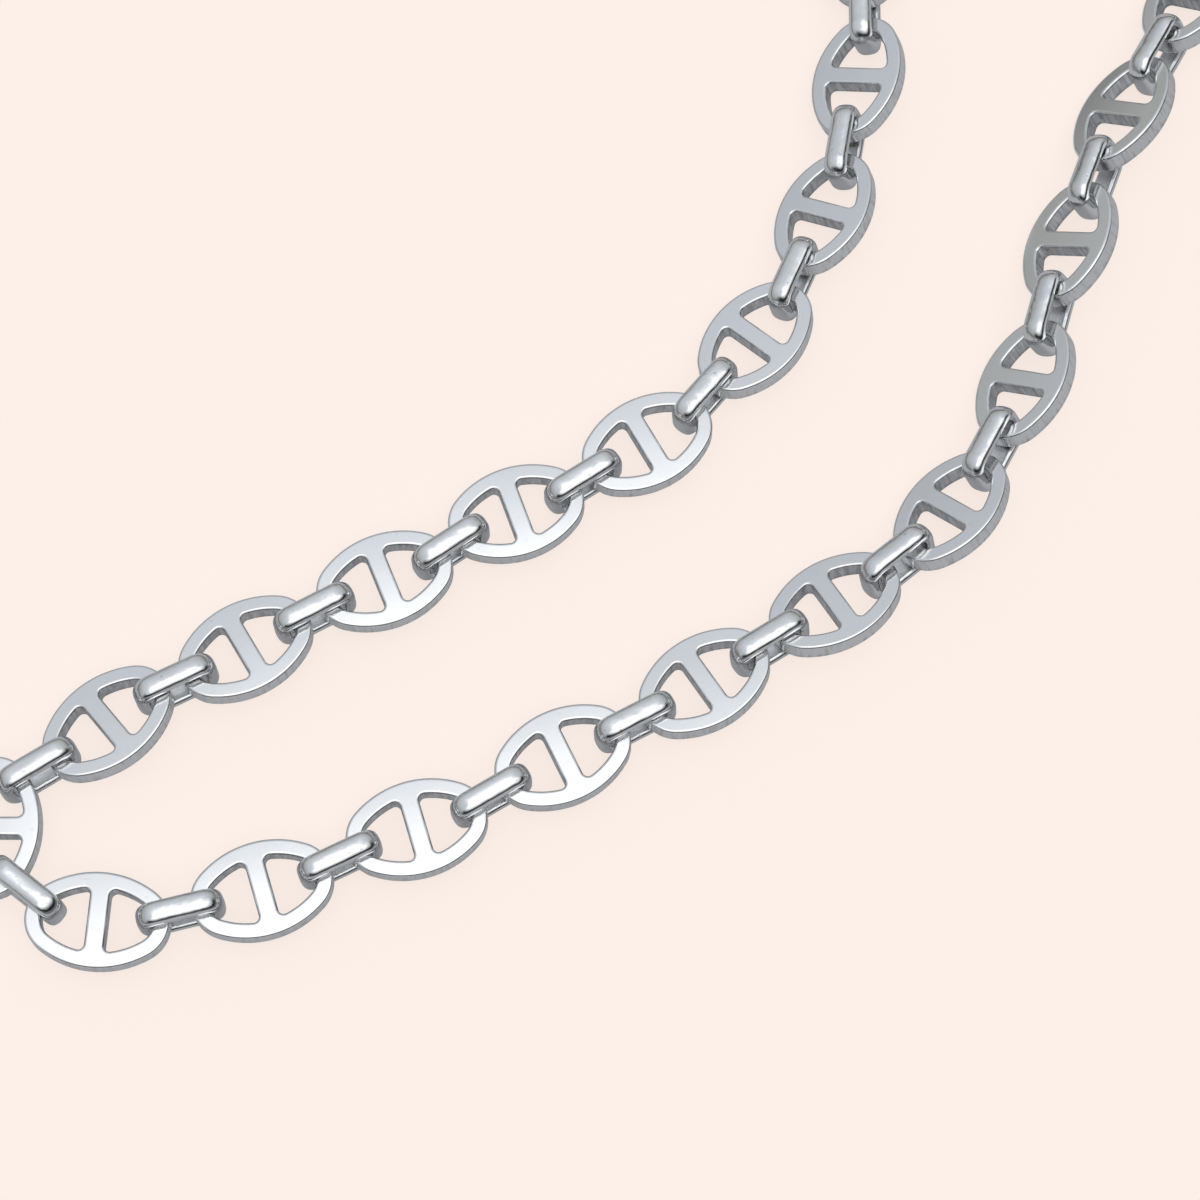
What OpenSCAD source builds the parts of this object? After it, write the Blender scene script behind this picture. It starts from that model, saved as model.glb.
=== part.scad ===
// Mariner link chain: a closed necklace of flat barred links and domed connectors, lying on a surface.
// X runs to the right, Y away from the wearer, Z up. The links lie on Z = 0.

/* [Anchor links] */
// Length of a barred link, end to end
link_length = 12.4; // [11:0.1:14]
// Width of a barred link across the bar
link_width = 8.4; // [7.5:0.1:10]
// Thickness of a barred link
link_thick = 1.8; // [1.2:0.1:2]
// Radius of the link's round ends
end_radius = 3.3; // [3:0.1:3.7]
// Width of the rim, seen from above
rim_width = 1.4; // [1.2:0.05:1.6]
// Width of the bar across the middle
bar_width = 1.7; // [1.3:0.1:2.2]
// Radius in the corners between bar and rim
corner_radius = 0.5; // [0.3:0.05:0.8]
// Bevel along the edges of a barred link
edge_bevel = 0.22; // [0.1:0.02:0.3]

/* [Connector links] */
// Gap between the ends of two neighbouring barred links
link_gap = 1.8; // [1.5:0.1:2.4]
// Width of the connector's band
band_width = 2.1; // [1.7:0.1:2.3]
// Thickness of the connector's band at the top of its dome
band_thick = 1.1; // [0.9:0.05:1.3]
// Width of the flat inside of the band
band_flat = 1.5; // [1.1:0.1:1.6]
// Height of the band's straight side edges
band_edge = 0.3; // [0.2:0.05:0.5]
// Inner corner radius of a connector
inner_corner = 0.7; // [0.5:0.05:0.8]

/* [Clasp] */
// Length of the clasp's body along the chain
clasp_length = 4.2; // [3.6:0.1:4.6]
// Width of the clasp's body
clasp_width = 9.2; // [8.6:0.1:11]
// Height of the clasp's body
clasp_height = 3; // [2:0.1:3.4]

/* [Clearances] */
// Play between a rim and the connector's end
end_play = 0.25; // [0.15:0.05:0.35]
// Room above and below a rim inside a connector
face_room = 0.5; // [0.4:0.05:0.7]
// How far a lying link sits below the middle of its connectors
link_drop = 0.02; // [0:0.02:0.14]
// Height of a tilted link's lower edge over the surface
floor_gap = 0.05; // [0.02:0.01:0.1]

/* [Hidden] */
$fn = 64;

link_count = 36;
// The band's dome is drawn in a few straight steps; a power under 1 makes it flatter on top.
dome_steps = 5;
dome_power = 0.8;
corner_steps = 4;
slope_step = 0.05;
// The side arcs of a rim run on into its end arcs by the lap. The end arcs are turned a hair
// wider, about a centre moved back as far, so the lapped faces lie apart and the ends stay in place.
arc_lap = 0.15;
arc_step = 0.02;

// A barred link's outline has four arcs: two ends and two sides that meet them smoothly.
end_x = link_length / 2 - end_radius;
side_y = (pow(end_x, 2) - pow(link_width / 2 - end_radius, 2)) / (link_width - 2 * end_radius);
side_radius = link_width / 2 + side_y;
arc_turn = atan2(side_y, end_x);

// A connector goes round the two rims it holds, with the named clearances.
rim_seat = sqrt(pow(end_radius - rim_width, 2) - pow(band_flat / 2, 2)) - end_play;
hinge_span = link_length + link_gap - 2 * end_x;
inner_length = hinge_span - 2 * rim_seat;
inner_height = link_thick + 2 * face_room;
connector_height = inner_height + 2 * band_thick;

// Where the chain lies. Each row is a link the route passes through: its number, its place,
// its tilt about the chain's direction and its turn out of that direction, in degrees.
// Link 0 is the clasp. The places were chosen for links that follow each other every 14.2 mm.
ROUTE = [
    [0, 33, 89, 0, 0],
    [2, 6.6, 83, 0, 0],
    [4, -4.55, 57.8, 0, 0],
    [6, 3.05, 31.1, 4, 0],
    [8, 11.3, 3.7, 16, -3],
    [9, 10.9, -10.2, 22, -6],
    [10, 7.5, -23.8, 20, -5],
    [11, 1, -36.2, 9, -5],
    [12, -8.8, -46.2, 0, -8],
    [13, -20.4, -52.8, 0, -9],
    [14, -31.9, -59.1, 0, -6],
    [15, -43.9, -65.4, 4, 2],
    [16, -55.6, -72.2, 8, 3],
    [17, -65.1, -81.5, 2, 0],
    [18, -55.7, -89.7, 0, 9],
    [19, -41.8, -87, 0, 0],
    [20, -28.7, -81.6, 0, -8],
    [21, -16.2, -75.2, 0, -2],
    [22, -3.9, -68.5, -5, 3],
    [23, 7.6, -61.3, -14, -5],
    [24, 18.1, -52.6, -23, 0],
    [25, 25.1, -40.5, -31, 0],
    [26, 29.7, -27, -35, 0],
    [27, 35.2, -13.9, -35, -2],
    [29, 49.6, 10.2, -24, 0],
    [31, 62.8, 34.9, -8, 0],
    [33, 63.5, 62.8, 0, 0],
    [34, 57, 75.1, 0, 0],
    [35, 46.1, 84.3, 0, 0]
];
route_scale = (link_length + link_gap) / 14.2;

// The route is closed, so rows before the first and after the last come from its other end.
rows = len(ROUTE);
function row(k) = let (q = ROUTE[(k + rows) % rows], lap = k < 0 ? -1 : k < rows ? 0 : 1)
    [q[0] + lap * link_count, q[1], q[2], q[3], q[4]];
function rest(q) = [q[1] * route_scale, q[2] * route_scale, q[3], q[4]];

// Smooth curve through the rows; s is a link's number and may lie between two links.
function along(s) =
    let (
        w = (s + link_count) % link_count,
        k = max([for (i = [0 : rows - 1]) if (ROUTE[i][0] <= w) i]),
        a = row(k - 1), b = row(k), c = row(k + 1), d = row(k + 2),
        span = c[0] - b[0],
        t = (w - b[0]) / span,
        from_slope = (rest(c) - rest(a)) * span / (c[0] - a[0]),
        to_slope = (rest(d) - rest(b)) * span / (d[0] - b[0])
    )
    (2 * pow(t, 3) - 3 * pow(t, 2) + 1) * rest(b) + (pow(t, 3) - 2 * pow(t, 2) + t) * from_slope
        + (3 * pow(t, 2) - 2 * pow(t, 3)) * rest(c) + (pow(t, 3) - pow(t, 2)) * to_slope;

// Height of a connector's middle and of a link's middle when they lie tilted by roll degrees.
function connector_rest(roll) = connector_height / 2 * cos(roll) + band_width / 2 * sin(abs(roll));
function link_rest(roll) = max(connector_rest(roll) - link_drop,
    link_width / 2 * sin(abs(roll)) + link_thick / 2 * cos(roll) + floor_gap);

// Place of link i: its middle, and its turns about X, Y and Z.
function link_middle(i) = let (q = along(i)) [q[0], q[1], link_rest(q[2])];
function link_turns(i) =
    let (
        q = along(i),
        run = along(i + slope_step) - along(i - slope_step),
        climb = link_middle(i + 1) - link_middle(i - 1)
    )
    [q[2], -atan2(climb[2], norm([climb[0], climb[1]])), atan2(run[1], run[0]) + q[3]];
function link_axis(i) = let (r = link_turns(i)) [cos(r[2]) * cos(r[1]), sin(r[2]) * cos(r[1]), -sin(r[1])];

// Place of the connector after link i, halfway between the centres of the two round ends it joins.
function joined_ends(i) = [link_middle(i) + end_x * link_axis(i), link_middle(i + 1) - end_x * link_axis(i + 1)];
function connector_turns(i) =
    let (ends = joined_ends(i), run = ends[1] - ends[0])
    [(along(i)[2] + along(i + 1)[2]) / 2, -asin(run[2] / norm(run)), atan2(run[1], run[0])];
function connector_middle(i) =
    let (ends = joined_ends(i), middle = (ends[0] + ends[1]) / 2)
    [middle[0], middle[1], max(middle[2], connector_rest(connector_turns(i)[0]))];

function link_name(i) = str("anchor_link_", i < 10 ? "0" : "", i);

// Cross-section of the rim or of the bar: a rectangle with bevelled corners, from x0 to x1.
module bevelled_section(x0, x1) {
    half = link_thick / 2;
    polygon([
        [x0 + edge_bevel, -half], [x1 - edge_bevel, -half], [x1, edge_bevel - half], [x1, half - edge_bevel],
        [x1 - edge_bevel, half], [x0 + edge_bevel, half], [x0, half - edge_bevel], [x0, edge_bevel - half]
    ]);
}

module rim_arc(outer_radius, start, sweep) {
    rotate([0, 0, start])
        rotate_extrude(angle = sweep)
            bevelled_section(outer_radius - rim_width, outer_radius);
}

// The oval rim, from its two end arcs and its two side arcs.
module rim() {
    lap = arc_lap / side_radius * 180 / PI;
    for (side = [0, 180])
        rotate([0, 0, side]) {
            translate([end_x - arc_step, 0, 0])
                rim_arc(end_radius + arc_step, -arc_turn, 2 * arc_turn);
            translate([0, -side_y, 0])
                rim_arc(side_radius, arc_turn - lap, 180 - 2 * (arc_turn - lap));
        }
}

// A straight bar across the rim, whose ends stop inside the rim.
module cross_bar(width) {
    reach = link_width / 2 - rim_width / 2;
    rotate([90, 0, 0])
        translate([0, 0, -reach])
            linear_extrude(2 * reach)
                bevelled_section(-width / 2, width / 2);
}

// Fills the corner between a bar and the rim up to the corner radius.
module corner_web(width) {
    inner = side_radius - rim_width;
    mid_x = width / 2 + corner_radius;
    mid_y = sqrt(pow(inner - corner_radius, 2) - pow(mid_x, 2)) - side_y;
    stop = atan2(mid_y + side_y, mid_x);
    sink = rim_width / 4;
    linear_extrude(link_thick - 2 * edge_bevel, center = true)
        polygon(concat(
            [[width / 2 - sink, mid_y], [width / 2 - sink, mid_y + corner_radius + sink],
             [mid_x, mid_y + corner_radius + sink]],
            [for (k = [0 : corner_steps]) let (t = stop + (180 - stop) * k / corner_steps)
                [mid_x + corner_radius * cos(t), mid_y + corner_radius * sin(t)]]
        ));
}

module anchor_link() {
    color("gainsboro") {
        rim();
        cross_bar(bar_width);
        for (turn_x = [0, 180], turn_z = [0, 180])
            rotate([turn_x, 0, turn_z]) corner_web(bar_width);
    }
}

// Cross-section of the connector's band: flat inside, domed outside, starting at radius r.
module band_section(r) {
    dome = (band_thick - band_edge) / pow(cos(90 / dome_steps), dome_power);
    polygon(concat(
        [[r, band_flat / 2], [r, -band_flat / 2]],
        [for (k = [0 : dome_steps]) let (t = 180 * k / dome_steps - 90)
            [r + band_edge + dome * pow(max(cos(t), 0), dome_power),
             band_width / 2 * sign(t) * pow(abs(sin(t)), dome_power)]]
    ));
}

// A straight run of the band along X, with its inside at distance r below Y.
module band_run(length, r) {
    rotate([90, 0, 90])
        linear_extrude(length, center = true)
            rotate([0, 0, 90]) band_section(r);
}

module connector_link() {
    half_run = inner_length / 2 - inner_corner;
    half_rise = inner_height / 2 - inner_corner;
    color("silver")
        for (side = [0, 180])
            rotate([0, side, 0]) {
                band_run(2 * half_run, inner_height / 2);
                rotate([0, 90, 0]) band_run(2 * half_rise, inner_length / 2);
                for (flip = [0, 180])
                    rotate([0, 0, flip])
                        translate([half_run, 0, half_rise])
                            rotate([90, 0, 0])
                                rotate_extrude(angle = 90)
                                    band_section(inner_corner);
            }
}

module connector_links() {
    for (i = [0 : link_count - 1])
        translate(connector_middle(i)) rotate(connector_turns(i)) connector_link();
}

// A plain box clasp: a closed body between two rims like those of the links.
module clasp() {
    color("lightgray")
        translate(link_middle(0)) rotate(link_turns(0)) {
            rim();
            linear_extrude(clasp_height, center = true)
                square([clasp_length, clasp_width], center = true);
        }
}

for (i = [1 : link_count - 1])
    translate(link_middle(i)) rotate(link_turns(i)) anchor_link();
connector_links();
clasp();
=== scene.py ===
import math

import bpy
from bpy.props import FloatProperty, FloatVectorProperty, PointerProperty
from mathutils import Euler, Matrix, Vector
from mathutils.geometry import delaunay_2d_cdt


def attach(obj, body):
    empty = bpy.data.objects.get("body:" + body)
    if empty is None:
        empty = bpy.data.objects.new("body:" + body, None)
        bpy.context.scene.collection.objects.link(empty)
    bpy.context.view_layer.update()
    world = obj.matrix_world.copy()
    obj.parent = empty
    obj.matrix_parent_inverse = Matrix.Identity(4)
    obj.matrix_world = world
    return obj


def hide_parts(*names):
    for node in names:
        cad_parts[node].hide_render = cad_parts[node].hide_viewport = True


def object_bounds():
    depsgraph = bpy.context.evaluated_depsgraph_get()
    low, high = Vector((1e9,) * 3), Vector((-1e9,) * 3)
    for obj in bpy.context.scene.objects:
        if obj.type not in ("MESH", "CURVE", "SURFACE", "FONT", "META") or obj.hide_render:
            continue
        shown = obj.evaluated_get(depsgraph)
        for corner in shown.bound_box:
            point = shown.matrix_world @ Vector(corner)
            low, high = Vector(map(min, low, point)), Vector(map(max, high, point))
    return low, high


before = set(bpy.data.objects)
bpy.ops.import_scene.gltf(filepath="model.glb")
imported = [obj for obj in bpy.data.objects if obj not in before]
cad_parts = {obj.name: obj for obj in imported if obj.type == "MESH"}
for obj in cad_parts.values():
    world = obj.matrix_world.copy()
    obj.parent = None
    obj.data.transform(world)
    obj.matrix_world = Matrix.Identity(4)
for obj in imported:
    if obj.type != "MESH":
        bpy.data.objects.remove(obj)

bl_info = {
    "name": "Mariner Link Chain",
    "version": (1, 0, 0),
    "blender": (4, 5, 0),
    "location": "3D View > Sidebar > Chain",
    "description": "Polished barred links, domed connectors and a box clasp, as a closed chain",
    "category": "Object",
}

MM = 0.001
LINK_COUNT = 36
CAD_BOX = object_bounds()

# The route on which the chain lies, as in the part's source: link number, place in mm, tilt about
# the chain's direction and turn out of that direction in degrees. Link 0 is the clasp.
ROUTE = [
    (0, 33, 89, 0, 0), (2, 6.6, 83, 0, 0), (4, -4.55, 57.8, 0, 0),
    (6, 3.05, 31.1, 4, 0), (8, 11.3, 3.7, 16, -3), (9, 10.9, -10.2, 22, -6),
    (10, 7.5, -23.8, 20, -5), (11, 1, -36.2, 9, -5), (12, -8.8, -46.2, 0, -8),
    (13, -20.4, -52.8, 0, -9), (14, -31.9, -59.1, 0, -6), (15, -43.9, -65.4, 4, 2),
    (16, -55.6, -72.2, 8, 3), (17, -65.1, -81.5, 2, 0), (18, -55.7, -89.7, 0, 9),
    (19, -41.8, -87, 0, 0), (20, -28.7, -81.6, 0, -8), (21, -16.2, -75.2, 0, -2),
    (22, -3.9, -68.5, -5, 3), (23, 7.6, -61.3, -14, -5), (24, 18.1, -52.6, -23, 0),
    (25, 25.1, -40.5, -31, 0), (26, 29.7, -27, -35, 0), (27, 35.2, -13.9, -35, -2),
    (29, 49.6, 10.2, -24, 0), (31, 62.8, 34.9, -8, 0), (33, 63.5, 62.8, 0, 0),
    (34, 57, 75.1, 0, 0), (35, 46.1, 84.3, 0, 0),
]
# Spacing of the links in mm for which the route was laid, and how far before and after a link, in
# link numbers, the two points lie that give the route's direction
ROUTE_PITCH = 14.2
SLOPE_STEP = 0.05

# The camera: lens and sensor width in mm, angle over the surface in degrees, and in metres its
# distance from the point on the surface at which it aims, and the range in which it sees
LENS, SENSOR = 102, 36
CAMERA_ANGLE = 71.5
CAMERA_DISTANCE = 0.301
CAMERA_AIM = (-0.013, -0.060, 0)
CAMERA_RANGE = (0.01, 50)

# The floor: half its width in metres, the factor that makes up for the room's weak light on its
# lit share, and how much of its mirrored colour it gives off by itself
FLOOR_HALF, FLOOR_GAIN, FLOOR_GLOW = 4.0, 1.65, 0.2

# How far in mm the grain moves on from one link number to the next, so that no two look alike
GRAIN_STEP = (7.3, 4.1, 9.7)


def length(name, description, default):
    """A size in metres, given here in millimetres."""
    return FloatProperty(name=name, description=description, default=default * MM, min=0,
                         precision=5, unit="LENGTH")


def colour(name, description, default):
    """A colour, as red, green and blue from 0 to 1."""
    return FloatVectorProperty(name=name, description=description, default=default, min=0, max=1,
                               size=3, subtype="COLOR")


def share(name, description, default, largest=1.0):
    """A plain number from 0 up."""
    return FloatProperty(name=name, description=description, default=default, min=0, max=largest,
                         subtype="FACTOR")


class BarredLinkSizes(bpy.types.PropertyGroup):
    link_length: length("Length", "Barred link, end to end", 12.4)
    link_width: length("Width", "Barred link across its bar", 8.4)
    link_thick: length("Thickness", "Thickness of a barred link", 1.8)
    end_radius: length("End radius", "Radius of the link's round ends", 3.3)
    rim_width: length("Rim width", "Width of the rim from above", 1.4)
    bar_width: length("Bar width", "Width of the bar across the middle", 1.7)
    corner_radius: length("Corner radius", "Radius in the corners between bar and rim", 0.5)
    round_width: length("Rounding, across", "Width of the polished rounding along the edges", 0.24)
    round_height: length("Rounding, down", "Height of the polished rounding along the edges", 0.24)


class ConnectorSizes(bpy.types.PropertyGroup):
    link_gap: length("Link gap", "Gap between neighbouring barred links", 1.8)
    band_width: length("Band width", "Width of the domed band", 2.1)
    band_thick: length("Band thickness", "Thickness at the top of the dome", 1.1)
    band_flat: length("Inner flat", "Width of the flat inside of the band", 1.5)
    band_edge: length("Side edge", "Height of the band's slanted side", 0.3)
    dome_power: share("Dome power", "Dome's shape: 1 is an ellipse, less is flatter on top", 0.8)
    inner_corner: length("Inner corner", "Inner radius at the ends of a connector", 0.7)
    end_play: length("End play", "Play between a rim and the connector's end", 0.25)
    face_room: length("Face room", "Room above and below a rim in a connector", 0.5)
    link_drop: length("Link drop", "How far a lying link sits below its connectors' middle", 0.02)
    floor_gap: length("Floor gap", "Height of a tilted link's lower edge over the surface", 0.05)


class ClaspSizes(bpy.types.PropertyGroup):
    body_length: length("Body length", "Clasp body along the chain", 4.2)
    body_width: length("Body width", "Clasp body across the chain", 9.2)
    body_height: length("Body height", "Clasp body from below to above", 3)
    seam_width: length("Seam width", "Width of the seam between the box and its tongue", 0.16)


class SilverFinish(bpy.types.PropertyGroup):
    silver: colour("Silver", "Colour of the polished metal", (0.93, 0.935, 0.94))
    # Worn silver also serves as painted shade on the walls of the openings and low on the walls
    worn_and_shaded_silver: colour("Worn and shaded silver", "Colour where the metal is dull or in a recess",
                        (0.5, 0.51, 0.53))
    face_roughness: share("Face roughness", "Roughness of the flat faces", 0.17)
    dome_roughness: share("Dome roughness", "Roughness of the domed connectors", 0.1)
    face_crown: share("Face crown", "How strongly the faces seem to swell to the middle", 0.0055)
    face_waves: length("Face waves", "Height of the faces' soft waves, left by polishing", 0.014)
    dome_waves: length("Dome waves", "Height of the soft dents on the domed connectors", 0.08)


class StudioLook(bpy.types.PropertyGroup):
    floor: colour("Floor", "Pale colour of the surface the chain lies on", (0.973, 0.863, 0.799))
    floor_shade: share("Floor shade", "Share of the floor's light that a shadow takes away", 0.16)
    floor_mirrored: colour("Floor in the metal", "Colour that the metal mirrors of the floor",
                           (0.5, 0.5, 0.51))
    overhead: share("Overhead", "Strength of the wide light above the chain", 1.25, 3.0)
    high: colour("High", "Room high up, seen in lying faces", (0.62, 0.65, 0.69))
    middle: colour("Middle", "Room halfway up, seen in tilted faces", (0.49, 0.515, 0.555))
    low: colour("Low", "Room at eye level, beyond the chain", (0.37, 0.375, 0.365))
    behind: colour("Behind", "Room at eye level, on the near side", (0.015, 0.016, 0.021))


def dimmed(colour, factor):
    """A colour with its strength changed."""
    return [v * factor for v in colour]


def route_row(k):
    """A row of the closed route, which goes on from its last row to its first."""
    lap, k = divmod(k, len(ROUTE))
    number, x, y, roll, turn = ROUTE[k]
    return number + lap * LINK_COUNT, x, y, roll, turn


class Millimetres:
    """A property group's sizes in millimetres, and its plain numbers as they are."""

    def __init__(self, group):
        for key in group.__annotations__:
            plain = key.endswith("power")
            setattr(self, key, getattr(group, key) / (1 if plain else MM))


class Placement:
    """Where each link and connector lies, from the route and the named sizes, in millimetres."""

    def __init__(self, link, connector):
        link, connector = Millimetres(link), Millimetres(connector)
        self.link_width, self.link_thick = link.link_width, link.link_thick
        self.band_width, self.link_drop = connector.band_width, connector.link_drop
        self.floor_gap = connector.floor_gap
        pitch = link.link_length + connector.link_gap
        self.scale = pitch / ROUTE_PITCH
        self.end_x = link.link_length / 2 - link.end_radius
        reach = math.sqrt((link.end_radius - link.rim_width) ** 2 - (connector.band_flat / 2) ** 2)
        self.inner_length = pitch - 2 * self.end_x - 2 * (reach - connector.end_play)
        self.inner_height = link.link_thick + 2 * connector.face_room
        self.connector_height = self.inner_height + 2 * connector.band_thick

    def along(self, number):
        """Place, tilt and turn on the smooth route, at a link's number or between two."""
        number %= LINK_COUNT
        k = max(i for i, row in enumerate(ROUTE) if row[0] <= number)
        a, b, c, d = (route_row(k + j) for j in (-1, 0, 1, 2))
        span = c[0] - b[0]
        t = (number - b[0]) / span
        # Cubic weights of a row, the slope leaving it, the next row and the slope arriving there
        weights = (2 * t ** 3 - 3 * t ** 2 + 1, t ** 3 - 2 * t ** 2 + t,
                   3 * t ** 2 - 2 * t ** 3, t ** 3 - t ** 2)
        made = []
        for axis in (1, 2, 3, 4):
            unit = self.scale if axis < 3 else 1
            leave = (c[axis] - a[axis]) * span / (c[0] - a[0])
            arrive = (d[axis] - b[axis]) * span / (d[0] - b[0])
            parts = (b[axis], leave, c[axis], arrive)
            made.append(unit * sum(weight * part for weight, part in zip(weights, parts)))
        return made

    def connector_rest(self, tilt):
        """Height of a connector's middle that lies on the surface, tilted by so many degrees."""
        tilt = math.radians(abs(tilt))
        return self.connector_height / 2 * math.cos(tilt) + self.band_width / 2 * math.sin(tilt)

    def link_middle(self, i):
        """The middle of link i: in its connectors, or higher if its lower edge would touch."""
        x, y, tilt, _ = self.along(i)
        lean = math.radians(abs(tilt))
        edge = self.link_width / 2 * math.sin(lean) + self.link_thick / 2 * math.cos(lean)
        height = max(self.connector_rest(tilt) - self.link_drop, edge + self.floor_gap)
        return Vector((x, y, height))

    def link_turns(self, i):
        """The turns about x, y and z that lay link i along the route."""
        _, _, roll, turn = self.along(i)
        ahead, behind = self.along(i + SLOPE_STEP), self.along(i - SLOPE_STEP)
        climb = self.link_middle(i + 1) - self.link_middle(i - 1)
        return (math.radians(roll), -math.atan2(climb.z, climb.xy.length),
                math.atan2(ahead[1] - behind[1], ahead[0] - behind[0]) + math.radians(turn))

    def link(self, i):
        """The barred link's place as a matrix in metres."""
        return placed(self.link_middle(i), self.link_turns(i))

    def connector(self, i):
        """The place, as a matrix in metres, of the connector after link i."""
        ends = []
        for k, way in ((i, 1), (i + 1, -1)):
            _, pitch, heading = self.link_turns(k)
            level = math.cos(pitch)
            axis = Vector((math.cos(heading) * level, math.sin(heading) * level, -math.sin(pitch)))
            ends.append(self.link_middle(k) + way * self.end_x * axis)
        run, middle = ends[1] - ends[0], (ends[0] + ends[1]) / 2
        roll = (self.along(i)[2] + self.along(i + 1)[2]) / 2
        middle.z = max(middle.z, self.connector_rest(roll))
        pitch, heading = -math.asin(run.z / run.length), math.atan2(run.y, run.x)
        return placed(middle, (math.radians(roll), pitch, heading))


def placed(middle, turns):
    """A place in millimetres and three turns, as a matrix in metres."""
    return Matrix.Translation(middle * MM) @ Euler(turns, "XYZ").to_matrix().to_4x4()


# Steps of the barred link's outline, of the rounding along its edges, and of its openings
END_STEPS, SIDE_STEPS, ROUND_STEPS = 26, 22, 6
CORNER_STEPS, OPENING_END_STEPS, BAR_STEPS = 7, 12, 4
# Strips in mm beside the rounding, which keep the walls and the faces flat
WALL_STRIP, FACE_STRIP = 0.1, 0.04


def arc(cx, cy, radius, start, stop, steps, way):
    """Points of an arc, each with the direction in which the metal lies from it."""
    made = []
    for k in range(steps + 1):
        t = start + (stop - start) * k / steps
        n = Vector((math.cos(t), math.sin(t)))
        made.append((Vector((cx, cy)) + radius * n, way * n))
    return made


def barred_link_edges(s):
    """The outer outline and the two openings of a barred link, in millimetres."""
    end_x = s.link_length / 2 - s.end_radius
    side_y = end_x ** 2 - (s.link_width / 2 - s.end_radius) ** 2
    side_y /= s.link_width - 2 * s.end_radius
    side_radius = s.link_width / 2 + side_y
    turn = math.atan2(side_y, end_x)
    outer = []
    for half in (0, math.pi):
        flip, side_end = math.cos(half), half + math.pi - turn
        outer += arc(flip * end_x, 0, s.end_radius, half - turn, half + turn, END_STEPS, -1)[:-1]
        outer += arc(0, -flip * side_y, side_radius, half + turn, side_end, SIDE_STEPS, -1)[:-1]
    inner = side_radius - s.rim_width
    mid_x = s.bar_width / 2 + s.corner_radius
    mid_y = math.sqrt((inner - s.corner_radius) ** 2 - mid_x ** 2) - side_y
    stop = math.atan2(mid_y + side_y, mid_x)
    upper = arc(mid_x, mid_y, s.corner_radius, math.pi, stop, CORNER_STEPS, 1)
    upper += arc(0, -side_y, inner, stop, turn, CORNER_STEPS, 1)[1:]
    upper += arc(end_x, 0, s.end_radius - s.rim_width, turn, 0, OPENING_END_STEPS, 1)[1:]
    lower = [(Vector((p.x, -p.y)), Vector((n.x, -n.y))) for p, n in reversed(upper[:-1])]
    bar_side = [(Vector((s.bar_width / 2, mid_y * k / BAR_STEPS)), Vector((-1, 0)))
                for k in range(1 - BAR_STEPS, BAR_STEPS)]
    right = upper + lower + bar_side
    left = [(Vector((-p.x, p.y)), Vector((-n.x, n.y))) for p, n in reversed(right)]
    return outer, right, left


def inside(x, y, loop):
    """Whether a point lies inside a closed outline."""
    crossings = 0
    for k, a in enumerate(loop):
        b = loop[k - 1]
        if (a.y > y) != (b.y > y) and x < a.x + (y - a.y) / (b.y - a.y) * (b.x - a.x):
            crossings += 1
    return crossings % 2 == 1


def filled(loops):
    """Triangles between an outline and its openings, as indices into all the loops' points."""
    points = [p for loop in loops for p in loop]
    edges, start = [], 0
    for loop in loops:
        edges += [(start + k, start + (k + 1) % len(loop)) for k in range(len(loop))]
        start += len(loop)
    same_place = 1e-7
    places, _, triangles, origins, _, _ = delaunay_2d_cdt(points, edges, [], 0, same_place)
    made = []
    for triangle in triangles:
        x, y = sum((places[i] for i in triangle), Vector((0, 0))) / 3
        if inside(x, y, loops[0]) and not any(inside(x, y, hole) for hole in loops[1:]):
            made.append([origins[i][0] for i in triangle])
    return made


def barred_link_mesh(group):
    """Vertices of a barred link in mm, faces, and each vertex's share of wall, edge and recess."""
    s = Millimetres(group)
    half = s.link_thick / 2
    wall = half - s.round_height
    # Rings from the wall to the face, as inset, height, share of wall and share of edge
    rings = [(0, wall - WALL_STRIP, 1, 0), (0, wall, 1, 0.3)]
    for k in range(1, ROUND_STEPS):
        t = math.pi / 2 * k / ROUND_STEPS
        rings.append((s.round_width * (1 - math.cos(t)), wall + s.round_height * math.sin(t),
                      1 - k / ROUND_STEPS, 1))
    rings += [(s.round_width, half, 0, 0.4), (s.round_width + FACE_STRIP, half, 0, 0)]
    profile = [(d, -z, w, e) for d, z, w, e in reversed(rings)] + rings
    depth = len(profile)
    points, faces, marks, tops = [], [], [], []
    for number, loop in enumerate(barred_link_edges(s)):
        start, n = len(points), len(loop)
        for place, into in loop:
            for d, z, w, e in profile:
                p = place + into * d
                points.append((p.x, p.y, z))
                marks.append((w, e, 1 if number else 0))
        for i in range(n):
            j = (i + 1) % n
            for k in range(depth - 1):
                a, b = start + i * depth + k, start + j * depth + k
                faces.append((a, b, b + 1, a + 1))
        tops.append([start + i * depth + depth - 1 for i in range(n)])
    flat = [index for loop in tops for index in loop]
    for triangle in filled([[Vector(points[i][:2]) for i in loop] for loop in tops]):
        a, b, c = (flat[i] for i in triangle)
        faces += [(a, b, c), (a - depth + 1, c - depth + 1, b - depth + 1)]
    return points, faces, marks


# Steps over the band's side and its dome, and along a connector's corners, sides and ends
BAND_SIDE_STEPS, DOME_STEPS, BEND_STEPS, RUN_STEPS, RISE_STEPS = 4, 20, 14, 10, 3
BAND_SIDE_POWER = 1.4


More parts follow.
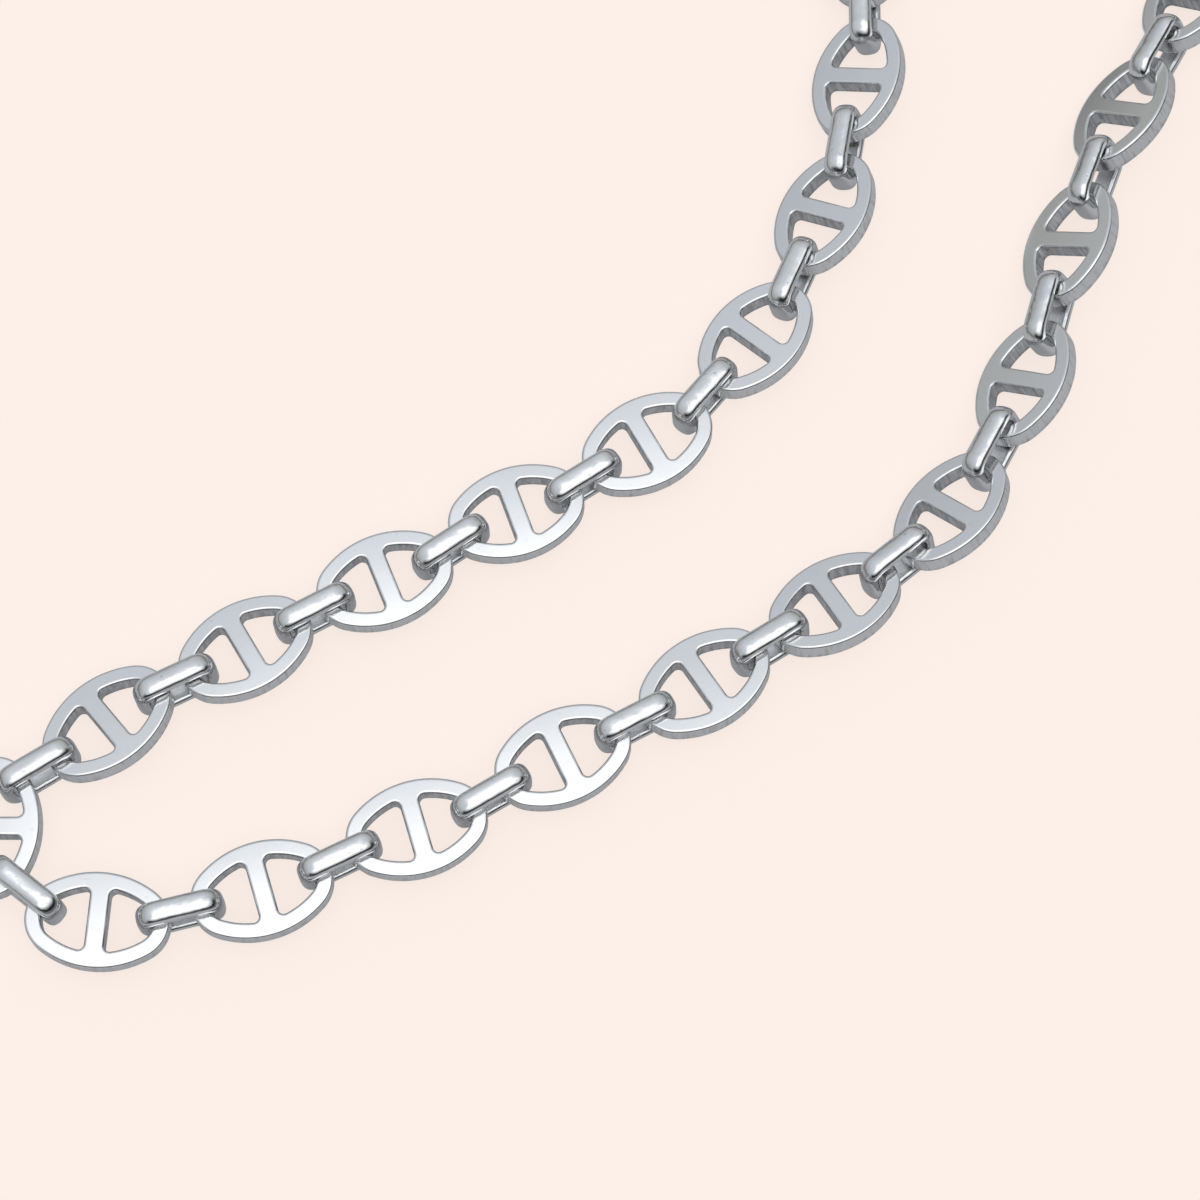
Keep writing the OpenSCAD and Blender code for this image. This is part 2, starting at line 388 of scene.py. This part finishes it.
def band_profile(s):
    """The band's cross-section as (across, outward) points, flat inside and domed outside."""
    half, flat = s.band_width / 2, s.band_flat / 2
    edge, dome = s.band_edge, s.band_thick - s.band_edge
    side = half - flat
    rising = []
    for k in range(BAND_SIDE_STEPS + 1):
        t = math.pi / 2 * k / BAND_SIDE_STEPS
        rising.append((flat + side * math.sin(t) ** BAND_SIDE_POWER,
                       edge - edge * math.cos(t) ** BAND_SIDE_POWER))
    over = []
    for k in range(1, DOME_STEPS):
        t = math.pi * k / DOME_STEPS
        over.append((math.copysign(half * abs(math.cos(t)) ** s.dome_power, math.cos(t)),
                     edge + dome * math.sin(t) ** s.dome_power))
    left = [(-x, r) for x, r in reversed(rising)]
    inner = [(x, 0) for x in (-flat + WALL_STRIP, -flat / 3, flat / 3, flat - WALL_STRIP)]
    return rising + over + left + inner


def connector_mesh(connector, placement):
    """Vertices of one connector in mm, faces, and each vertex's share of wall, edge and recess."""
    s = Millimetres(connector)
    run = placement.inner_length / 2 - s.inner_corner
    rise = placement.inner_height / 2 - s.inner_corner
    corners = ((1, 1), (-1, 1), (-1, -1), (1, -1))
    path = []
    for quarter, (sx, sz) in enumerate(corners):
        start, stop = math.pi / 2 * quarter, math.pi / 2 * (quarter + 1)
        path += arc(sx * run, sz * rise, s.inner_corner, start, stop, BEND_STEPS, 1)
        next_x, next_z = corners[(quarter + 1) % 4]
        last, out = path[-1]
        goal = Vector((next_x * run, next_z * rise)) + s.inner_corner * out
        steps = RUN_STEPS if next_x != sx else RISE_STEPS
        path += [(last.lerp(goal, k / steps), out) for k in range(1, steps)]
    section = band_profile(s)
    points, faces, marks = [], [], []
    n, m = len(path), len(section)
    for place, out in path:
        for across, outward in section:
            p = place + out * outward
            points.append((p.x, across, p.y))
            side = 0
            if outward <= s.band_edge:
                side = max(0.0, 1 - abs(outward - s.band_edge / 2) / s.band_edge)
            marks.append((side, 0, 1 if outward < s.band_edge / 6 else 0))
    for i in range(n):
        j = (i + 1) % n
        for k in range(m):
            after = (k + 1) % m
            faces.append((j * m + k, j * m + after, i * m + after, i * m + k))
    return points, faces, marks


def rounded_box(size, radius, steps=5):
    """A box with rounded edges, as stacked rounded rings and two flat faces, in millimetres."""
    x, y, z = (v / 2 - radius for v in size)
    ring, levels = [], []
    for quarter, (sx, sy) in enumerate(((1, 1), (-1, 1), (-1, -1), (1, -1))):
        for k in range(steps + 1):
            t = math.pi / 2 * (quarter + k / steps)
            ring.append((sx * x, sy * y, math.cos(t), math.sin(t)))
    for k in range(steps + 1):
        t = -math.pi / 2 * (1 - k / steps)
        levels.append((-z + radius * math.sin(t), radius * math.cos(t)))
    levels += [(-h, r) for h, r in reversed(levels)]
    points, faces = [], []
    for h, r in levels:
        points += [(cx + r * nx, cy + r * ny, h) for cx, cy, nx, ny in ring]
    n = len(ring)
    for level in range(len(levels) - 1):
        for i in range(n):
            j = (i + 1) % n
            faces.append((level * n + i, level * n + j, (level + 1) * n + j, (level + 1) * n + i))
    corners = [(x, y), (-x, y), (-x, -y), (x, -y)]
    for side in (-1, 1):
        faces.append(tuple(range(len(points), len(points) + 4)))
        points += [(cx, cy, side * size[2] / 2) for cx, cy in corners[::side]]
    return points, faces


# The clasp in mm: the rounding of its box, the rounding of the dark core that shows in the seam,
# and how much shorter and thinner the core is. The seam's place is a share of the box's length.
CLASP_ROUND, CORE_ROUND, CORE_SHORTER, CORE_THINNER = 0.35, 0.2, 0.8, 0.7
SEAM_SHARE = 0.16


def clasp_mesh(clasp, link):
    """The clasp: two rims like those of the links, and a box body with a seam at its tongue."""
    s = Millimetres(clasp)
    points, faces, marks = barred_link_mesh(link)
    seam_x = s.body_length * SEAM_SHARE
    front = s.body_length / 2 - seam_x - s.seam_width / 2
    back = s.body_length / 2 + seam_x - s.seam_width / 2
    core = (s.body_length - CORE_SHORTER, s.body_width - CORE_THINNER,
            s.body_height - CORE_THINNER)
    parts = [
        ((back, s.body_width, s.body_height), CLASP_ROUND, -s.body_length / 2 + back / 2, 0),
        ((front, s.body_width, s.body_height), CLASP_ROUND, s.body_length / 2 - front / 2, 0),
        (core, CORE_ROUND, 0, 1),
    ]
    for size, radius, x, recess in parts:
        more, sides = rounded_box(size, radius)
        start = len(points)
        points += [(p[0] + x, p[1], p[2]) for p in more]
        faces += [tuple(start + i for i in side) for side in sides]
        marks += [(0, 0, recess)] * len(more)
    return points, faces, marks


def new_mesh(name, points, faces, marks, places):
    """A smooth mesh that repeats a piece, once for each numbered place, with attributes for the
    shaders: the place on the piece, a place that no two pieces share, and the kind of surface."""
    mesh = bpy.data.meshes.new(name)
    count = len(points)
    moved, sides, grains = [], [], []
    for lap, (number, matrix) in enumerate(places):
        moved += [matrix @ (Vector(p) * MM) for p in points]
        sides += [tuple(lap * count + i for i in face) for face in faces]
        grains += [v + number * GRAIN_STEP[axis] for p in points for axis, v in enumerate(p)]
    mesh.from_pydata(moved, [], sides)
    mesh.polygons.foreach_set("use_smooth", [True] * len(mesh.polygons))
    for attribute, values in (
        ("piece_place", [v for p in points for v in p] * len(places)),
        ("grain_place", grains),
        ("surface_kind", [v for mark in marks for v in mark] * len(places)),
    ):
        mesh.attributes.new(attribute, "FLOAT_VECTOR", "POINT").data.foreach_set("vector", values)
    mesh.update()
    return mesh


def show(name, mesh, material, slot, *nodes):
    """Shows a piece on the chain, in place of its CAD nodes."""
    piece = bpy.data.objects.new(name, mesh)
    bpy.context.scene.collection.objects.link(piece)
    mesh.materials.append(material)
    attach(piece, "root")
    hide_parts(*nodes)


class Nodes:
    """Makes the nodes of one tree and wires them. A value is a number or a socket."""

    def __init__(self, tree):
        self.tree = tree

    def add(self, kind, label="", **inputs):
        """A node with its inputs fed by name."""
        node = self.tree.nodes.new(kind)
        node.label = label
        for key, value in inputs.items():
            self.feed(node.inputs[key.replace("_", " ")], value)
        return node

    def feed(self, socket, value):
        """Wires a socket to an input, or sets the input to a number, a colour or a vector."""
        if isinstance(value, bpy.types.NodeSocket):
            self.tree.links.new(value, socket)
        else:
            socket.default_value = value

    def math(self, operation, a, b=0.0, c=0.0, label=""):
        """A sum, product or other step on one to three numbers."""
        node = self.tree.nodes.new("ShaderNodeMath")
        node.operation, node.label = operation, label
        for socket, value in zip(node.inputs, (a, b, c)):
            self.feed(socket, value)
        return node.outputs[0]

    def scaled(self, vector, factor):
        """A vector made longer or shorter."""
        node = self.tree.nodes.new("ShaderNodeVectorMath")
        node.operation = "SCALE"
        self.feed(node.inputs[0], vector)
        self.feed(node.inputs["Scale"], factor)
        return node.outputs[0]

    def ramp(self, value, low, high, label="", smooth=True):
        """A number that goes from 0 to 1 while the value goes from low to high."""
        node = self.add("ShaderNodeMapRange", label, Value=value, From_Min=low, From_Max=high)
        node.interpolation_type = "SMOOTHSTEP" if smooth else "LINEAR"
        return node.outputs["Result"]

    def mix(self, factor, a, b, label=""):
        """A colour between two others."""
        node = self.tree.nodes.new("ShaderNodeMix")
        node.data_type, node.label = "RGBA", label
        # Of this node's many sockets, inputs 6 and 7 and output 2 are the colours
        sockets = (node.inputs["Factor"], node.inputs[6], node.inputs[7])
        for socket, value in zip(sockets, (factor, a, b)):
            self.feed(socket, value)
        return node.outputs[2]

    def colours(self, value, label, *stops):
        """A colour ramp over the value, with stops given as a position and a colour."""
        node = self.add("ShaderNodeValToRGB", label, Fac=value)
        while len(node.color_ramp.elements) < len(stops):
            node.color_ramp.elements.new(1.0)
        for element, (position, colour) in zip(node.color_ramp.elements, stops):
            element.position = position
            element.color = (*colour, 1)
        return node.outputs["Color"]

    def noise(self, place, scale, turn=(0, 0, 0), detail=2.0, label=""):
        """Noise with so many features a millimetre, one number for each axis."""
        mapping = self.add("ShaderNodeMapping", Vector=place, Rotation=turn, Scale=scale)
        noise = self.add("ShaderNodeTexNoise", label, Vector=mapping.outputs[0], Scale=1.0,
                         Detail=detail)
        return noise.outputs["Fac"]


def polish_group():
    """Shared finish of the silver: its worn marks with painted shade in the openings and low on
    the walls, its roughness, and its relief in millimetres.
    """
    if "Silver Polish" in bpy.data.node_groups:
        return bpy.data.node_groups["Silver Polish"]
    tree = bpy.data.node_groups.new("Silver Polish", "ShaderNodeTree")
    for name in ("Piece", "Place", "Kind"):
        tree.interface.new_socket(name=name, in_out="INPUT", socket_type="NodeSocketVector")
    # The recess and foot amounts are painted shade: on the walls of the openings and low on the
    # walls
    for name in ("Roughness", "Satin", "Scratches", "Wall Lines", "Recess Wear", "Inner Satin",
                 "Crown", "Waves", "Wave Scale", "Nicks", "Hairlines", "Foot Wear"):
        tree.interface.new_socket(name=name, in_out="INPUT", socket_type="NodeSocketFloat")
    # The first output holds the worn marks and the painted shade
    for name in ("Wear", "Roughness", "Height"):
        tree.interface.new_socket(name=name, in_out="OUTPUT", socket_type="NodeSocketFloat")
    n = Nodes(tree)
    given = n.add("NodeGroupInput").outputs
    out = n.add("NodeGroupOutput")
    surface = n.add("ShaderNodeSeparateXYZ", "Kind of surface", Vector=given["Kind"])
    wall, edge, recess = surface.outputs
    spot = n.add("ShaderNodeSeparateXYZ", "Place on the piece", Vector=given["Piece"])
    x, y, z = spot.outputs
    place = given["Place"]

    # Marks: clouds, grain, waves, scratches, nicks, hairlines, lines on the walls, and painted
    # shade on the walls of the openings and low on the walls
    cloud = n.noise(place, (0.4, 0.4, 0.4), detail=3.0, label="Satin clouds")
    grain = n.noise(place, (7, 7, 7), detail=4.0, label="Fine grain")
    waved = n.scaled(place, given["Wave Scale"])
    wave = n.noise(waved, (1, 1, 1), detail=1.5, label="Polishing waves")
    first = n.noise(place, (17, 0.9, 3), (0, 0, 0.5), label="Scratches one way")
    second = n.noise(place, (1.1, 14, 3), (0, 0, 0.2), label="Scratches the other way")
    scratch = n.math("MAXIMUM", n.ramp(first, 0.66, 0.74), n.ramp(second, 0.68, 0.76))
    scratch = n.math("MULTIPLY", scratch, given["Scratches"], label="Scratch mask")
    nick = n.ramp(n.noise(place, (1.7, 1.7, 1.7), detail=3.0, label="Places of nicks"), 0.66, 0.71)
    nick = n.math("MULTIPLY", nick, given["Nicks"], label="Nicks")
    hair = n.math("SUBTRACT", n.noise(place, (0.7, 13, 9), detail=3.0, label="Hairlines"), 0.5)
    hair = n.math("MULTIPLY", hair, given["Hairlines"])
    # Painted shade: the lower part of the walls darker, as shade near the floor
    foot = n.math("MULTIPLY", n.ramp(z, -0.25, -0.8), wall)
    foot = n.math("MULTIPLY", foot, given["Foot Wear"], label="Dark foot")
    lines = n.noise(place, (2.8, 2.8, 0.5), detail=4.0, label="Drawn lines on the walls")
    lined = n.math("MULTIPLY", wall, given["Wall Lines"])
    lined = n.math("MULTIPLY", n.math("SUBTRACT", lines, 0.5), lined)
    # Painted shade: the walls of the openings darker
    dull_or_shaded = n.math("MULTIPLY", wall, recess)
    dull_or_shaded = n.math("MULTIPLY", dull_or_shaded, given["Recess Wear"], label="Painted shade in recess")
    clouded = n.math("SUBTRACT", cloud, 0.5)
    clouded = n.math("MULTIPLY", clouded, given["Satin"], label="Cloud share")
    grained = n.math("SUBTRACT", grain, 0.5)

    # Wear and painted shade: how far the colour goes from silver to worn silver. The walls of the
    # openings and the lower part of the walls get painted shade, the other marks are worn places
    wear = n.math("ADD", n.math("ADD", dull_or_shaded, foot), n.math("MULTIPLY", lined, 4.5))
    wear = n.math("MULTIPLY_ADD", hair, 1.6, wear)
    wear = n.math("MULTIPLY_ADD", clouded, 1.2, wear)
    wear = n.math("MULTIPLY_ADD", scratch, 0.2, wear)
    wear = n.math("MULTIPLY_ADD", nick, 0.6, wear)
    wear = n.math("MULTIPLY_ADD", grained, 0.1, wear, label="Wear")

    # Roughness: the piece's own, then more or less of it by each mark
    rough = n.math("ADD", given["Roughness"], clouded)
    rough = n.math("MULTIPLY_ADD", scratch, 0.1, rough)
    rough = n.math("MULTIPLY_ADD", wall, 0.06, rough)
    rough = n.math("MULTIPLY_ADD", hair, 0.5, rough)
    inner = n.math("MULTIPLY", recess, n.math("SUBTRACT", 1.0, wall))
    rough = n.math("MULTIPLY_ADD", inner, given["Inner Satin"], rough, label="Satin inside")
    rough = n.math("MULTIPLY_ADD", edge, -0.06, rough, label="Polished edges")

    # Relief in mm: the crown of the faces, then each mark by its own height or depth
    swell = n.math("MULTIPLY_ADD", n.math("MULTIPLY", x, x), 0.3, n.math("MULTIPLY", y, y))
    height = n.math("MULTIPLY", swell, n.math("MULTIPLY", given["Crown"], -1.0), label="Crown")
    height = n.math("MULTIPLY_ADD", n.math("SUBTRACT", wave, 0.5), given["Waves"], height)
    height = n.math("MULTIPLY_ADD", scratch, -0.0015, height)
    height = n.math("MULTIPLY_ADD", nick, -0.012, height)
    height = n.math("MULTIPLY_ADD", hair, 0.01, height)
    height = n.math("MULTIPLY_ADD", grained, 0.0006, height)
    height = n.math("MULTIPLY_ADD", lined, 0.03, height, label="Surface height")

    n.feed(out.inputs["Wear"], n.ramp(wear, 0, 1, smooth=False))
    n.feed(out.inputs["Roughness"], n.math("MAXIMUM", rough, 0.04))
    n.feed(out.inputs["Height"], height)
    return tree


def silver_material(name, finish, **amounts):
    """Polished silver with the shared polish effect and its own amounts of each kind of worn mark
    and of painted shade.
    """
    material = bpy.data.materials.new(name)
    material.use_nodes = True
    tree = material.node_tree
    n = Nodes(tree)
    shader = tree.nodes["Principled BSDF"]
    shader.inputs["Metallic"].default_value = 1.0
    polish = n.add("ShaderNodeGroup", "Polish")
    polish.node_tree = polish_group()
    sources = (("Piece", "piece_place"), ("Place", "grain_place"), ("Kind", "surface_kind"))
    for socket, attribute in sources:
        source = n.add("ShaderNodeAttribute", socket)
        source.attribute_name = attribute
        n.feed(polish.inputs[socket], source.outputs["Vector"])
    for key, value in amounts.items():
        n.feed(polish.inputs[key.replace("_", " ").title()], value)
    # Worn silver is the colour of worn places and of the painted shade
    silver, worn_and_shaded_silver = (*finish.silver, 1), (*finish.worn_and_shaded_silver, 1)
    tint = n.mix(polish.outputs["Wear"], silver, worn_and_shaded_silver, "Silver to worn and shaded silver")
    relief = n.add("ShaderNodeBump", "Polish relief", Strength=1.0, Distance=MM,
                   Height=polish.outputs["Height"])
    n.feed(shader.inputs["Base Color"], tint)
    n.feed(shader.inputs["Roughness"], polish.outputs["Roughness"])
    n.feed(shader.inputs["Normal"], relief.outputs["Normal"])
    return material


class ChainOperator(bpy.types.Operator):
    """Base of the operators that build the chain's pieces."""
    bl_options = {"REGISTER", "UNDO"}


class CHAIN_OT_barred_links(ChainOperator):
    """Build the 35 barred links in their places"""
    bl_idname = "chain.barred_links"
    bl_label = "Barred Links"

    def execute(self, context):
        chain = context.scene.mariner_chain
        placement = Placement(chain.link, chain.connector)
        parts = barred_link_mesh(chain.link)
        finish = chain.finish
        # The recess and foot amounts paint shade on the walls of the openings and low on the walls
        material = silver_material(
            "Barred link silver", finish, roughness=finish.face_roughness, satin=0.1,
            scratches=0.5, wall_lines=0.6, recess_wear=0.45, crown=finish.face_crown,
            waves=finish.face_waves / MM, wave_scale=0.3, nicks=0.15, hairlines=0.12,
            foot_wear=0.5)
        for i in range(1, LINK_COUNT):
            mesh = new_mesh(f"barred_{i:02d}", *parts, [(i, placement.link(i))])
            show(f"barred_{i:02d}", mesh, material, "barred_links", f"anchor_link_{i:02d}")
        return {"FINISHED"}


class CHAIN_OT_connectors(ChainOperator):
    """Build the domed connectors between the barred links as one piece"""
    bl_idname = "chain.connectors"
    bl_label = "Connectors"

    def execute(self, context):
        chain = context.scene.mariner_chain
        placement = Placement(chain.link, chain.connector)
        parts = connector_mesh(chain.connector, placement)
        places = [(i, placement.connector(i)) for i in range(LINK_COUNT)]
        mesh = new_mesh("domed_connectors", *parts, places)
        finish = chain.finish
        # The recess amount paints shade on the inside of the band
        material = silver_material(
            "Connector silver", finish, roughness=finish.dome_roughness, satin=0.08, scratches=0.4,
            wall_lines=0.2, recess_wear=0.1, inner_satin=0.3, waves=finish.dome_waves / MM,
            wave_scale=0.7, nicks=0.8, hairlines=0.5)
        show("domed_connectors", mesh, material, "connectors", "connector_links")
        return {"FINISHED"}


class CHAIN_OT_clasp(ChainOperator):
    """Build the box clasp that closes the chain behind the neck"""
    bl_idname = "chain.clasp"
    bl_label = "Box Clasp"

    def execute(self, context):
        chain = context.scene.mariner_chain
        placement = Placement(chain.link, chain.connector)
        parts = clasp_mesh(chain.clasp, chain.link)
        mesh = new_mesh("box_clasp", *parts, [(0, placement.link(0))])
        finish = chain.finish
        # The recess amount paints shade on the walls of the rims' openings
        material = silver_material(
            "Clasp silver", finish, roughness=finish.face_roughness, satin=0.08, scratches=0.5,
            wall_lines=0.3, recess_wear=0.45, waves=finish.face_waves / MM, wave_scale=0.3,
            nicks=0.15, hairlines=0.3)
        show("box_clasp", mesh, material, "clasp", "clasp")
        return {"FINISHED"}


class CHAIN_OT_studio(ChainOperator):
    """Set up the pale floor, the soft light and the camera"""
    bl_idname = "chain.studio"
    bl_label = "Studio"

    def execute(self, context):
        look = context.scene.mariner_chain.studio
        context.scene.view_settings.view_transform = "Standard"
        self.floor(look)
        self.room(context, look)
        self.camera(context)
        return {"FINISHED"}

    def floor(self, look):
        """The pale surface, which the camera sees evenly lit and the metal mirrors as darker."""
        mesh = bpy.data.meshes.new("floor")
        half = FLOOR_HALF
        corners = [(-half, -half, 0), (half, -half, 0), (half, half, 0), (-half, half, 0)]
        mesh.from_pydata(corners, [], [(0, 1, 2, 3)])
        floor = bpy.data.objects.new("floor", mesh)
        floor.location.z = CAD_BOX[0][2]
        bpy.context.scene.collection.objects.link(floor)
        material = bpy.data.materials.new("Pale floor")
        material.use_nodes = True
        n = Nodes(material.node_tree)
        shader = material.node_tree.nodes["Principled BSDF"]
        shader.inputs["Roughness"].default_value = 0.9
        shader.inputs["Specular IOR Level"].default_value = 0.0
        seen = n.add("ShaderNodeLightPath").outputs["Is Camera Ray"]
        lit, own = look.floor_shade * FLOOR_GAIN, 1 - look.floor_shade
        n.feed(shader.inputs["Base Color"], n.mix(
            seen, (*look.floor_mirrored, 1), (*dimmed(look.floor, lit), 1), "Floor colour"))
        n.feed(shader.inputs["Emission Color"], n.mix(
            seen, (*dimmed(look.floor_mirrored, FLOOR_GLOW), 1),
            (*dimmed(look.floor, own), 1), "Even light on the floor"))
        shader.inputs["Emission Strength"].default_value = 1.0
        mesh.materials.append(material)

    def room(self, context, look):
        """A soft room: bright above, dimmer to the far horizon, and dark low on the near side."""
        world = bpy.data.worlds.new("Studio room")
        context.scene.world = world
        world.use_nodes = True
        n = Nodes(world.node_tree)
        background = world.node_tree.nodes["Background"]
        direction = n.add("ShaderNodeTexCoord").outputs["Generated"]
        axes = n.add("ShaderNodeSeparateXYZ", Vector=direction).outputs
        rise = n.math("ARCSINE", axes[2])
        height = n.math("DIVIDE", rise, math.pi / 2, label="Height, from 0 to 1")

        # How far a direction points back and to the left; 1.001 keeps the root above 0 straight up
        level = n.math("SQRT", n.math("SUBTRACT", 1.001, n.math("MULTIPLY", axes[2], axes[2])))
        back, right = n.math("MULTIPLY", axes[1], 0.8), n.math("MULTIPLY", axes[0], 0.6)
        away = n.math("DIVIDE", n.math("SUBTRACT", back, right), level)
        far = n.ramp(away, -0.4, 0.1, label="Beyond the chain, from 0 to 1")

        top = (look.overhead,) * 3
        beyond = n.colours(
            height, "Beyond the chain",
            (0.0, dimmed(look.low, 0.2)), (0.16, look.low), (0.4, look.middle),
            (0.68, look.high), (0.77, dimmed(look.high, 1.25)), (0.86, top))
        near = n.colours(
            height, "On the near side",
            (0.0, dimmed(look.low, 0.5)), (0.13, dimmed(look.low, 0.4)), (0.21, look.behind),
            (0.32, look.behind), (0.42, look.low), (0.52, dimmed(look.high, 1.15)), (0.68, top))
        light = n.mix(far, near, beyond, "Room light")
        seen = n.add("ShaderNodeLightPath").outputs["Is Camera Ray"]
        n.feed(background.inputs["Color"], n.mix(seen, light, (*look.floor, 1), "Plain backdrop"))
        background.inputs["Strength"].default_value = 1.0

    def camera(self, context):
        """The camera, at the angle from which the chain is seen from above and in front."""
        camera = bpy.data.cameras.new("camera")
        camera.lens, camera.sensor_width = LENS, SENSOR
        camera.clip_start, camera.clip_end = CAMERA_RANGE
        holder = bpy.data.objects.new("camera", camera)
        context.scene.collection.objects.link(holder)
        angle = math.radians(CAMERA_ANGLE)
        look = Vector((0, math.cos(angle), -math.sin(angle)))
        holder.location = Vector(CAMERA_AIM) - look * CAMERA_DISTANCE
        holder.rotation_euler = look.to_track_quat("-Z", "Y").to_euler()
        context.scene.camera = holder


class MarinerChain(bpy.types.PropertyGroup):
    link: PointerProperty(
        type=BarredLinkSizes, name="Barred links", description="Sizes of a barred link")
    connector: PointerProperty(
        type=ConnectorSizes, name="Connectors", description="Sizes of a connector")
    clasp: PointerProperty(type=ClaspSizes, name="Clasp", description="Sizes of the clasp")
    finish: PointerProperty(
        type=SilverFinish, name="Silver", description="Colour and polish of the silver")
    studio: PointerProperty(type=StudioLook, name="Studio", description="Floor and light")


class CHAIN_PT_panel(bpy.types.Panel):
    """Lists the chain's pieces and their sizes"""
    bl_idname = "CHAIN_PT_panel"
    bl_label = "Mariner Chain"
    bl_space_type = "VIEW_3D"
    bl_region_type = "UI"
    bl_category = "Chain"

    def draw(self, context):
        chain = context.scene.mariner_chain
        rows = (
            (CHAIN_OT_barred_links, chain.link),
            (CHAIN_OT_connectors, chain.connector),
            (CHAIN_OT_clasp, chain.clasp),
            (None, chain.finish),
            (CHAIN_OT_studio, chain.studio),
        )
        for operator, group in rows:
            box = self.layout.box()
            for key in group.__annotations__:
                box.prop(group, key)
            if operator:
                box.operator(operator.bl_idname)


CLASSES = (
    BarredLinkSizes, ConnectorSizes, ClaspSizes, SilverFinish, StudioLook, MarinerChain,
    CHAIN_OT_barred_links, CHAIN_OT_connectors, CHAIN_OT_clasp, CHAIN_OT_studio, CHAIN_PT_panel,
)


def register():
    for cls in CLASSES:
        bpy.utils.register_class(cls)
    bpy.types.Scene.mariner_chain = PointerProperty(
        type=MarinerChain, name="Mariner chain", description="Everything that makes up the chain")


def unregister():
    del bpy.types.Scene.mariner_chain
    for cls in reversed(CLASSES):
        bpy.utils.unregister_class(cls)


def main():
    """Builds the chain and its studio."""
    register()
    bpy.ops.chain.barred_links()
    bpy.ops.chain.connectors()
    bpy.ops.chain.clasp()
    bpy.ops.chain.studio()


if __name__ == "__main__":
    main()
